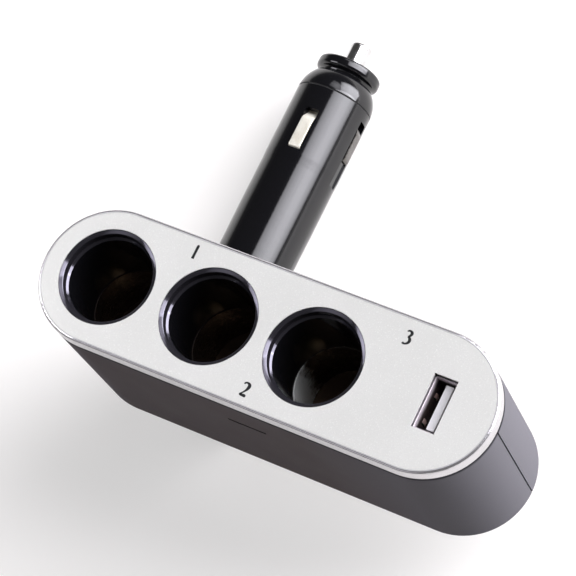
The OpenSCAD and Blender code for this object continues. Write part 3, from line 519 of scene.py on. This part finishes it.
def paintedLightSleeveFinish(s):
    # the sleeve of socket three: dull metal with a pale, mottled patch of painted light, a painted reflection,
    # on one side
    material = polishedFinish("paintedLightSleeveFinish", s["metal"], s["tarnish"], s["roughness"])
    tree, shader = reopened(material)
    point = objectPoint(tree, centre=s["centre"])
    facing = node(tree, "ShaderNodeVectorMath", operation="DOT_PRODUCT")
    tree.links.new(point, facing.inputs[0])
    facing.inputs[1].default_value = s["side"]
    mottle = combine(tree, "SUBTRACT", noiseAt(tree, point, 1.4 * mm, 3), 0.5)
    reach = combine(tree, "ADD", facing.outputs["Value"], combine(tree, "MULTIPLY", mottle, s["waver"]))
    lightPatch = spread(tree, reach, 0, 1, s["edge"], s["edge"] + s["edgeWidth"])
    patchLightTone = blendColour(tree, noiseAt(tree, point, 0.9 * mm, 5, 0.7), *s["patchLight"])
    # painted light: the pale patch over the sleeve's metal
    tree.links.new(blendColour(tree, lightPatch, linked(shader, "Base Color"), patchLightTone),
                   shader.inputs["Base Color"])
    tree.links.new(spread(tree, lightPatch, 1.0, s["cloudMetal"]), shader.inputs["Metallic"])
    roughened(tree, shader, lightPatch, s["cloudRoughness"])
    return material


usbPlating = {
    # the inside tone is painted shade, darkening the plating further in from the mouth
    "plating": (0.54, 0.49, 0.52), "tarnish": (0.40, 0.35, 0.36), "inside": (0.04, 0.028, 0.025),
    "roughness": 0.40, "metallic": 0.3, "fadeFrom": 1.0 * mm, "fadeTo": 2.4 * mm,
}


def usbFinish(s):
    # plated shell, bright at the mouth and darkened further in by painted shade
    material = polishedFinish("usbFinish", s["plating"], s["tarnish"], s["roughness"], metallic=s["metallic"])
    tree, shader = reopened(material)
    mouth = adapter["usbMouthZ"]
    shadeInside = spread(tree, axesOf(tree, objectPoint(tree))[2], 1, 0, mouth - s["fadeTo"], mouth - s["fadeFrom"])
    tree.links.new(blendColour(tree, shadeInside, linked(shader, "Base Color"), s["inside"]),
                   shader.inputs["Base Color"])
    return material


fibreBoard = {
    "middle": (0.11, 0.07, 0.045), "tones": ((0.085, 0.052, 0.032), (0.15, 0.095, 0.058)),
    "fleck": (0.045, 0.028, 0.018), "fibreSize": 0.7 * mm, "fleckSize": 0.5 * mm, "depth": 0.03 * mm,
}


def fibreFinish(s):
    # pressed brown fibre board: short fibres and dark flecks
    material, tree, shader = newFinish("fibreFinish", s["middle"], 0.75)
    fibres = noiseAt(tree, objectPoint(tree, (1, 5, 1)), s["fibreSize"], 5, 0.7)
    flecks = cellsAt(tree, objectPoint(tree), s["fleckSize"])
    base = blendColour(tree, spread(tree, fibres, 0, 1, 0.3, 0.7), *s["tones"])
    dark = blendColour(tree, spread(tree, flecks.outputs["Distance"], 0.7, 0, 0, 0.12), base, s["fleck"])
    tree.links.new(dark, shader.inputs["Base Color"])
    raiseBy(tree, shader, fibres, s["depth"])
    return material


circuitBoard = {
    "mask": (0.03, 0.22, 0.10), "tones": ((0.022, 0.17, 0.075), (0.05, 0.30, 0.15)),
    "weave": (0.06, 0.33, 0.18), "runSize": 7 * mm, "weaveSize": 0.6 * mm, "depth": 0.035 * mm,
}


def boardFinish(s):
    # green solder mask over a grid of raised copper runs, faintly cloudy
    material, tree, shader = newFinish("boardFinish", s["mask"], 0.32)
    point = objectPoint(tree)
    runs = node(tree, "ShaderNodeTexBrick", Scale=1 / s["runSize"], Mortar_Size=0.04)
    tree.links.new(point, runs.inputs["Vector"])
    base = blendColour(tree, runs.outputs["Fac"], *s["tones"])
    weave = noiseAt(tree, point, s["weaveSize"], 2)
    tree.links.new(blendColour(tree, spread(tree, weave, 0, 0.3, 0.4, 0.8), base, s["weave"]),
                   shader.inputs["Base Color"])
    raiseBy(tree, shader, runs.outputs["Fac"], s["depth"])
    return material


def bandedFinish(name, axis, bands, colour, roughness, relief=None, fade=0.02 * mm):
    # colour by height along one axis: bands of (from, to, colour), with fine grain or a wave as (size, depth)
    material, tree, shader = newFinish(name, colour, roughness)
    point = objectPoint(tree)
    height = axesOf(tree, point)[axis]
    shade = blendColour(tree, spread(tree, noiseAt(tree, point, 1.5 * mm, 4), 0, 1, 0.3, 0.7),
                        tuple(c * 0.85 for c in colour), tuple(min(1, c * 1.15) for c in colour))
    for low, high, tone in bands:
        inside = combine(tree, "MULTIPLY", spread(tree, height, 0, 1, low, low + fade),
                         spread(tree, height, 1, 0, high - fade, high))
        shade = blendColour(tree, inside, shade, tone)
    tree.links.new(shade, shader.inputs["Base Color"])
    if relief:
        size, depth = relief
        wave = node(tree, "ShaderNodeTexWave", bands_direction="XYZ"[axis], Scale=1 / size, Distortion=0.0)
        tree.links.new(point, wave.inputs["Vector"])
        raiseBy(tree, shader, wave.outputs["Fac"], depth)
    else:
        raiseBy(tree, shader, noiseAt(tree, point, 0.3 * mm, 3), 0.01 * mm)
    return material


def glassFinish():
    # clear glass with faint smears
    material, tree, shader = newFinish("glassFinish", (0.94, 0.97, 0.96), 0.03,
                                       Transmission_Weight=1.0, IOR=1.5)
    smear = noiseAt(tree, objectPoint(tree), 2.5 * mm, 3)
    tree.links.new(spread(tree, smear, 0.01, 0.08, 0.4, 0.7), shader.inputs["Roughness"])
    return material


def floorFinish(s):
    # pale paper that keeps the shadow; what is seen, directly or in gloss and glass, is lifted towards white
    material, tree, shader = newFinish("floorFinish", s["floorColour"], s["floorRoughness"])
    grain = noiseAt(tree, objectPoint(tree), 1.5 * mm, 4)
    low, high = (tuple(c * k for c in s["floorColour"]) for k in s["floorShades"])
    tree.links.new(blendColour(tree, grain, low, high), shader.inputs["Base Color"])
    path = node(tree, "ShaderNodeLightPath")
    seen = combine(tree, "MAXIMUM", path.outputs["Is Camera Ray"], path.outputs["Is Glossy Ray"])
    seen = combine(tree, "MAXIMUM", seen, path.outputs["Is Transmission Ray"])
    # the floor's far parts, out of the lamps' reach, are lifted more
    reach = node(tree, "ShaderNodeVectorMath", operation="LENGTH")
    tree.links.new(objectPoint(tree), reach.inputs[0])
    glow = spread(tree, reach.outputs["Value"], *s["floorGlow"], s["glowFrom"], s["glowTo"])
    tree.links.new(combine(tree, "MULTIPLY", seen, glow), shader.inputs["Emission Strength"])
    shader.inputs["Emission Color"].default_value = (1, 1, 1, 1)
    return material


finishes = {
    "silver_sheet": silverSheetFinish(sheetPaint),
    "silver_gloss": rimFinish(rimMarks),
    "grey_shell": shellFinish(shellMarks),
    "black_gloss": blackGlossFinish("blackGlossFinish", blackPlastic),
    "polished_steel": polishedFinish("sleeveFinish", (0.50, 0.48, 0.46), (0.34, 0.30, 0.26), 0.16),
    "fibre": fibreFinish(fibreBoard),
    "brass": polishedFinish("brassFinish", (0.50, 0.38, 0.24), (0.24, 0.17, 0.10), 0.42, (6, 1, 1)),
    "white_plastic": wearFinish("tongueFinish", (0.76, 0.755, 0.76), 0.35, tint=0.05),
    "board_green": boardFinish(circuitBoard),
    "dark_ferrite": bandedFinish("coilFinish", 2, [(-18.1 * mm, -14.9 * mm, (0.62, 0.26, 0.12))],
                                 (0.07, 0.07, 0.07), 0.5, relief=(0.9 * mm, 0.10 * mm)),
    "can_aluminium": bandedFinish("canFinish", 2, [(-26 * mm, -24.8 * mm, (0.72, 0.72, 0.73))],
                                  (0.05, 0.07, 0.16), 0.35),
    "black_matte": wearFinish("chipFinish", (0.03, 0.03, 0.03), 0.55),
    "lead_red": wearFinish("redLeadFinish", (0.50, 0.025, 0.025), 0.38, Coat_Weight=0.15),
    "lead_black": wearFinish("blackLeadFinish", (0.02, 0.02, 0.02), 0.38, Coat_Weight=0.15),
    "clear_glass": glassFinish(),
    "chrome": polishedFinish("pinFinish", (0.80, 0.80, 0.81), (0.62, 0.60, 0.58), 0.15, (1, 12, 1)),
    "steel": polishedFinish("steelFinish", (0.56, 0.55, 0.54), (0.40, 0.38, 0.35), 0.30),
}
slotOf = {entry["node"]: entry["material_slot"] for entry in frame["record"]["subparts"]}


def dress(obj, material):
    obj.data.materials.clear()
    obj.data.materials.append(material)


# nodes whose finish differs from their slot's
shadedSleeve, usbMaterial = shadedSleeveFinish(sleeveOneTwo), usbFinish(usbPlating)
ownFinishes = {
    "ground_sleeve_1": shadedSleeve, "ground_sleeve_2": shadedSleeve,
    "ground_sleeve_3": paintedLightSleeveFinish(sleeveThree), "usb_shell": usbMaterial,
}
for name, obj in cadNodes.items():
    dress(obj, ownFinishes.get(name, finishes[slotOf[name]]))
floor.data.materials.append(floorFinish(studio))
print("stage: finishes")


def unitRows(v):
    return v / np.linalg.norm(v, axis=-1, keepdims=True)


def roundedPath(points, reach, steps):
    # each corner becomes the curve (1-t)^2 a + 2t(1-t) b + t^2 c, from a distance before it to one after it
    p = np.asarray(points, float)
    reach = np.broadcast_to(np.asarray(reach, float), (len(p) - 2,))[:, None, None]
    corner = p[1:-1, None]
    before = corner + unitRows(p[:-2] - p[1:-1])[:, None] * reach
    after = corner + unitRows(p[2:] - p[1:-1])[:, None] * reach
    t = np.linspace(0, 1, steps)[None, :, None]
    bends = (1 - t) ** 2 * before + 2 * t * (1 - t) * corner + t ** 2 * after
    return np.vstack([p[:1], bends.reshape(-1, p.shape[1]), p[-1:]])


def roundedRows(rows, steps=8):
    # rows of (first, second, corner distance) in millimetres, as a rounded line in metres
    line = np.array(rows)
    return roundedPath(line[:, :2], line[1:-1, 2], steps) * mm


def gridFaces(rows, columns, closed):
    # quads between neighbouring rows; columns always close on themselves, rows only when asked
    i, k = np.meshgrid(np.arange(rows if closed else rows - 1), np.arange(columns), indexing="ij")
    j, m = (i + 1) % rows, (k + 1) % columns
    quads = np.stack([i * columns + k, i * columns + m, j * columns + m, j * columns + k], -1)
    return quads.reshape(-1, 4).tolist()


def carried(path, side, section, closed=False):
    # a flat section carried along a path: its first axis lies along tangent x side, its second along what is
    # square to both, and the ends are closed with flat faces
    tangent = np.roll(path, -1, 0) - np.roll(path, 1, 0) if closed else np.gradient(path, axis=0)
    tangent = unitRows(tangent)
    first = unitRows(np.cross(tangent, np.asarray(side, float)))
    second = np.cross(first, tangent)
    points = path[:, None] + section[None, :, :1] * first[:, None] + section[None, :, 1:] * second[:, None]
    rows, columns = points.shape[:2]
    faces = gridFaces(rows, columns, closed)
    if not closed:
        faces += [list(range(columns)), [(rows - 1) * columns + k for k in range(columns)]]
    return points.reshape(-1, 3), faces


def turned(profile, centre, segments):
    # a closed profile (r, z) turned about a vertical axis: (cx + r cos a, cy + r sin a, z)
    angle = np.linspace(0, 2 * np.pi, segments, endpoint=False)[:, None]
    r, z = profile[:, 0][None], profile[:, 1][None]
    points = np.stack([centre[0] + r * np.cos(angle), centre[1] + r * np.sin(angle), z + 0 * angle], -1)
    return points.reshape(-1, 3), gridFaces(segments, len(profile), True)


def roundSection(radius, sides):
    angle = np.linspace(0, 2 * np.pi, sides, endpoint=False)
    return radius * np.stack([np.cos(angle), np.sin(angle)], 1)


def stripSection(thickness, width, sides=28, power=5.0):
    # superellipse |x/a|^p + |y/b|^p = 1, close to a strip with rounded edges
    angle = np.linspace(0, 2 * np.pi, sides, endpoint=False)
    c, s = np.cos(angle), np.sin(angle)
    return np.stack([thickness / 2 * np.sign(c) * abs(c) ** (2 / power),
                     width / 2 * np.sign(s) * abs(s) ** (2 / power)], 1)


def addPiece(name, shape, body, slot, *nodes, material=None):
    # a new piece on a body, in its slot's finish or its own, in place of the CAD nodes named
    piece = meshObject(name, *shape)
    dress(piece, material or finishes[slot])
    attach(piece, body)
    if nodes:
        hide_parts(*nodes)
    return piece


socketWells = {
    "segments": 144,
    # half section in millimetres as (radius, z), with the distance over which each corner is rounded
    "profile": [(10.6, -19.0, 0.0), (10.6, -0.06, 0.08), (11.15, 0.50, 0.08), (11.15, 2.46, 0.20),
                (12.1, 2.93, 0.06), (12.1, 0.8, 0.05), (13.2, 0.8, 0.1), (13.2, -0.4, 0.1), (12.1, -0.4, 0.05),
                (12.1, -37.0, 0.1), (11.04, -37.0, 0.1), (11.04, -19.0, 0.0)],
}


def makeSocketWells(s):
    # the bevelled ring, straight mouth, slanted lip and bore as one turned surface
    profile = roundedRows(s["profile"])
    for index, x in enumerate(adapter["socketX"], 1):
        addPiece(f"well_{index}", turned(profile, (x, 0.0), s["segments"]), "housing", "black_gloss",
                 f"socket_well_{index}", material=wellMaterial)


wellMaterial = wellFinish(wellRing)
makeSocketWells(socketWells)
print("stage: socket wells")

sideContacts = {
    "thickness": 0.5 * mm, "width": 3.3 * mm, "steps": 10,
    # middle line in millimetres as (along the plug from the window's start, radius), with corner distances
    "path": [(-0.9, 7.68, 0), (0.36, 7.68, 0.35), (0.36, 10.45, 0.75), (8.9, 10.45, 1.0), (11.42, 7.70, 0.7),
             (12.7, 7.68, 0)],
    # window's start along the plug in millimetres, and the way each contact faces
    "places": [(65.6, (1, 0, 0)), (61.8, (0, 0, -1)), (65.6, (-1, 0, 0)), (61.8, (0, 0, 1))],
}


def makeSideContacts(s):
    # a sheet strip bent over its middle line: foot, steep rise, flat top, ramp and foot
    flat = roundedRows(s["path"], s["steps"])
    section = stripSection(s["thickness"], s["width"])
    for index, (start, outward) in enumerate(s["places"], 1):
        out = np.array(outward, float)
        path = np.array([adapter["plugX"], start * mm, adapter["pivotZ"]]) \
            + flat[:, :1] * np.array([0, 1, 0]) + flat[:, 1:] * out
        side = np.cross((0, 1, 0), out)
        addPiece(f"side_contact_{index}", carried(path, side, section), f"side_spring_{index}", "steel",
                 f"side_spring_{index}", material=shadedLeaf if index == 1 else leafMaterial)


leafMaterial = polishedFinish("leafFinish", (0.92, 0.89, 0.78), (0.76, 0.71, 0.58), 0.45, (8, 1, 8), 0.5)
# the contact on the +X side gets a darker copy of the leaf finish: its dark colour is painted shade
shadedLeaf = polishedFinish("shadedLeafFinish", (0.20, 0.19, 0.18), (0.10, 0.09, 0.08), 0.24, (8, 1, 8), 0.85)
makeSideContacts(sideContacts)

tipCoil = {
    "radius": 3.0 * mm, "wire": 0.25 * mm, "turns": 6, "start": 80.8 * mm, "end": 86.6 * mm,
    "seat": 80.4 * mm, "travel": 2.6 * mm, "perTurn": 36, "sides": 12, "ease": 0.11,
}


def makeTipCoil(s):
    # helix (r cos a, r sin a) whose rise eases in and out, so that the end turns lie flat
    t = np.linspace(0, 1, s["turns"] * s["perTurn"] + 1)
    rise = t - s["ease"] * np.sin(2 * np.pi * t)
    angle = 2 * np.pi * s["turns"] * t
    path = np.stack([adapter["plugX"] + s["radius"] * np.cos(angle),
                     s["start"] + (s["end"] - s["start"]) * rise,
                     adapter["pivotZ"] - s["radius"] * np.sin(angle)], 1)
    shape = carried(path, (0, 1, 0), roundSection(s["wire"], s["sides"]))
    coil = addPiece("tip_coil", shape, "plug", "steel", "tip_spring")
    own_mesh(coil)


makeTipCoil(tipCoil)
print("stage: side contacts and tip coil")

tipNut = {
    "segments": 128,
    # section in millimetres as (radius, distance along the plug), with corner distances: shank, concave neck,
    # thin flange with a round edge, shallow cone on top, hole for the pin and the well for its flange
    "profile": [(3.1, 91.05, 0.0), (4.2, 91.2, 0.3), (7.5, 90.9, 0.8), (8.75, 90.5, 0.7), (8.75, 88.05, 0.8),
                (7.6, 87.5, 0.4), (7.3, 87.0, 0.25), (7.2, 86.5, 0.1), (6.6, 86.48, 0.05), (6.6, 83.2, 0.1),
                (4.5, 83.2, 0.1), (4.5, 88.2, 0.1), (3.1, 88.2, 0.0)],
}


def makeTipNut(s):
    points, faces = turned(roundedRows(s["profile"]), (0.0, 0.0), s["segments"])
    # from turned about +Z at the middle to turned about the plug's axis, +Y: (x, y, z) -> (x, z, -y)
    points = np.c_[adapter["plugX"] + points[:, 0], points[:, 2], adapter["pivotZ"] - points[:, 1]]
    addPiece("flanged_nut", (points, faces), "tip_nut", "black_gloss", "tip_nut")


makeTipNut(tipNut)
print("stage: tip nut")

usbSocket = {
    "half": (2.675 * mm, 6.375 * mm), "corner": 0.35 * mm, "cornerSteps": 7,
    # section of the flared lip in millimetres as (outwards, up) from the middle of the shell's wall
    "lip": [(-0.14, -0.9), (-0.14, -0.06), (-0.08, 0.04), (0.02, 0.10), (0.13, 0.08), (0.16, 0.0),
            (0.13, -0.9)],
    # middle line of a spring tab in millimetres: distance from the socket's middle, z, corner distance
    "tab": [(2.675, -5.55, 0), (2.66, -4.9, 0.5), (2.26, -3.6, 0.5), (2.60, -2.45, 0)],
    "tabWidth": 1.15 * mm, "tabThickness": 0.22 * mm, "tabY": 3.25 * mm, "tabSides": 20, "steps": 10,
}


def makeUsbDetails(s):
    # the flared lip is a section carried round a rectangle with rounded corners
    a, b = s["half"]
    box = np.array([(a, 0), (a, b), (-a, b), (-a, -b), (a, -b), (a, 0)])
    ring = roundedPath(box, s["corner"], s["cornerSteps"])[:-1]
    path = np.c_[adapter["usbX"] + ring[:, 0], ring[:, 1], np.full(len(ring), adapter["usbMouthZ"])]
    addPiece("usb_lip", carried(path, (0, 0, 1), np.array(s["lip"]) * mm, True), "housing", "polished_steel",
             material=usbMaterial)
    flat = roundedRows(s["tab"], s["steps"])
    section = stripSection(s["tabThickness"], s["tabWidth"], s["tabSides"])
    for index, (sideX, sideY) in enumerate(((-1, -1), (-1, 1), (1, -1), (1, 1)), 1):
        path = np.c_[adapter["usbX"] + sideX * flat[:, 0], np.full(len(flat), sideY * s["tabY"]), flat[:, 1]]
        addPiece(f"usb_tab_{index}", carried(path, (0, 1, 0), section), "housing", "polished_steel",
                 material=tabMaterial)


tabMaterial = polishedFinish("usbTabFinish", (0.62, 0.46, 0.42), (0.42, 0.30, 0.27), 0.45, metallic=0.35)
makeUsbDetails(usbSocket)
print("stage: usb lip and tabs")

leads = {
    "radius": 0.8 * mm, "bend": 1.8, "sides": 18, "steps": 9,
    # routes in millimetres: piece, CAD node, body, slot, a direction that the route never runs along, points
    "routes": [
        ("lead_to_board_red", "board_power_lead", "housing", "lead_red", (0, 1, 0),
         [(43.0, 0.0, -37.0), (43.0, 0.0, -29.333), (44.6, 0.0, -21.667), (44.6, 0.0, -14.0)]),
        ("lead_to_board_black", "board_ground_lead", "housing", "lead_black", (0, 1, 0),
         [(43.0, -10.715, -37.0), (43.0, -10.715, -29.333), (44.6, -10.715, -21.667),
          (44.6, -10.715, -14.0)]),
        ("lead_to_hinge_red", "power_lead_body", "housing", "lead_red", (0, 1, 0),
         [(-31.1, 0.0, -38.6), (-34.3, 0.0, -38.6), (-34.3, 0.0, -57.5), (-32.35, 0.0, -57.5)]),
        ("lead_to_hinge_black", "ground_lead_body", "housing", "lead_black", (0.3, 0.9, 0.2),
         [(-12.1, -10.715, -38.6), (-12.1, -5.357, -39.4), (-12.1, 0.0, -39.4), (-12.1, 0.0, -57.5),
          (-14.05, 0.0, -57.5)]),
        ("lead_in_plug_red", "power_lead_plug", "plug", "lead_red", (0, 0, 1),
         [(-32.05, 0.0, -57.5), (-25.3, 0.0, -57.5), (-25.3, 16.7, -57.5), (-23.2, 25.1, -57.5),
          (-23.2, 44.0, -57.5)]),
        ("lead_in_plug_black", "ground_lead_plug", "plug", "lead_black", (0, 0, 1),
         [(-14.35, 0.0, -57.5), (-21.1, 0.0, -57.5), (-21.1, 16.7, -57.5), (-17.0, 25.1, -57.5),
          (-17.0, 62.75, -57.5)]),
    ],
}


def makeLeads(s):
    # round tube along a route with rounded corners
    for name, cadNode, body, slot, side, route in s["routes"]:
        path = roundedPath(route, s["bend"], s["steps"]) * mm
        addPiece(name, carried(path, side, roundSection(s["radius"], s["sides"])), body, slot, cadNode)


makeLeads(leads)
print("stage: leads")

numerals = {
    "height": 0.02 * mm, "sunk": 0.005 * mm, "weight": 1.9, "steps": 8,
    # strokes in millimetres on the face: centre points (x, y, width)
    "strokes": {
        "one": [[(-10.62, 14.62, 0.16), (-10.45, 14.82, 0.26), (-10.36, 14.78, 0.36), (-10.37, 14.2, 0.36),
                 (-10.37, 12.9, 0.34), (-10.37, 11.8, 0.36)],
                [(-10.78, 11.66, 0.12), (-10.37, 11.66, 0.20), (-9.98, 11.66, 0.12)]],
        "two": [[(15.80, -11.75, 0.18), (16.02, -11.42, 0.22), (16.42, -11.28, 0.24), (16.92, -11.42, 0.34),
                 (17.20, -11.80, 0.44), (17.16, -12.35, 0.42), (16.92, -12.95, 0.30), (16.42, -13.66, 0.20),
                 (15.92, -14.20, 0.20), (15.72, -14.44, 0.16)],
                [(15.72, -14.44, 0.14), (16.10, -14.42, 0.28), (16.62, -14.38, 0.36), (17.15, -14.40, 0.38),
                 (17.38, -14.36, 0.20)]],
        "three": [[(46.02, 13.42, 0.16), (46.30, 13.66, 0.22), (46.72, 13.72, 0.26), (47.12, 13.50, 0.36),
                   (47.26, 13.10, 0.38), (47.06, 12.62, 0.28), (46.64, 12.26, 0.20)],
                  [(46.64, 12.26, 0.20), (47.02, 12.14, 0.30), (47.32, 11.78, 0.38), (47.40, 11.30, 0.38),
                   (47.18, 10.84, 0.32), (46.72, 10.50, 0.24), (46.24, 10.46, 0.26), (45.94, 10.62, 0.30)]],
    },
}


def curveThrough(points, steps):
    # Catmull-Rom curve: each stretch is a cubic through two points with slopes from their neighbours
    p = np.vstack([2 * points[0] - points[1], points, 2 * points[-1] - points[-2]])
    t = np.linspace(0, 1, steps, endpoint=False)[None, :, None]
    a, b, c, d = (p[k:len(p) - 3 + k, None] for k in range(4))
    spans = 0.5 * (2 * b + (c - a) * t + (2 * a - 5 * b + 4 * c - d) * t ** 2
                   + (3 * b - a - 3 * c + d) * t ** 3)
    return np.vstack([spans.reshape(-1, p.shape[1]), points[-1]])


def inkedNumber(strokes, s):
    # each stroke is a flat band along its curve, half its width to each side
    parts, faces, start = [], [], 0
    for stroke in strokes:
        line = curveThrough(np.array(stroke) * mm, s["steps"])
        centre, halfWidth = line[:, :2], line[:, 2:] * s["weight"] / 2
        along = unitRows(np.gradient(centre, axis=0))
        across = np.stack([-along[:, 1], along[:, 0]], 1) * halfWidth
        low = np.full(len(line), adapter["faceZ"] - s["sunk"])
        high = np.full(len(line), adapter["faceZ"] + s["height"])
        ring = np.stack([np.c_[centre + across, low], np.c_[centre + across, high],
                         np.c_[centre - across, high], np.c_[centre - across, low]], 1)
        parts.append(ring.reshape(-1, 3))
        rows, columns = ring.shape[:2]
        faces += (np.array(gridFaces(rows, columns, False)) + start).tolist()
        faces += [[start + 3, start + 2, start + 1, start],
                  [start + (rows - 1) * columns + k for k in range(columns)]]
        start += rows * columns
    return np.vstack(parts), faces


inkMaterial = wearFinish("inkFinish", (0.006, 0.006, 0.006), 0.5, grainDepth=0.002 * mm)
for name, strokes in numerals["strokes"].items():
    addPiece("number_" + name, inkedNumber(strokes, numerals), "housing", "black_matte", material=inkMaterial)
print("stage: numbers")
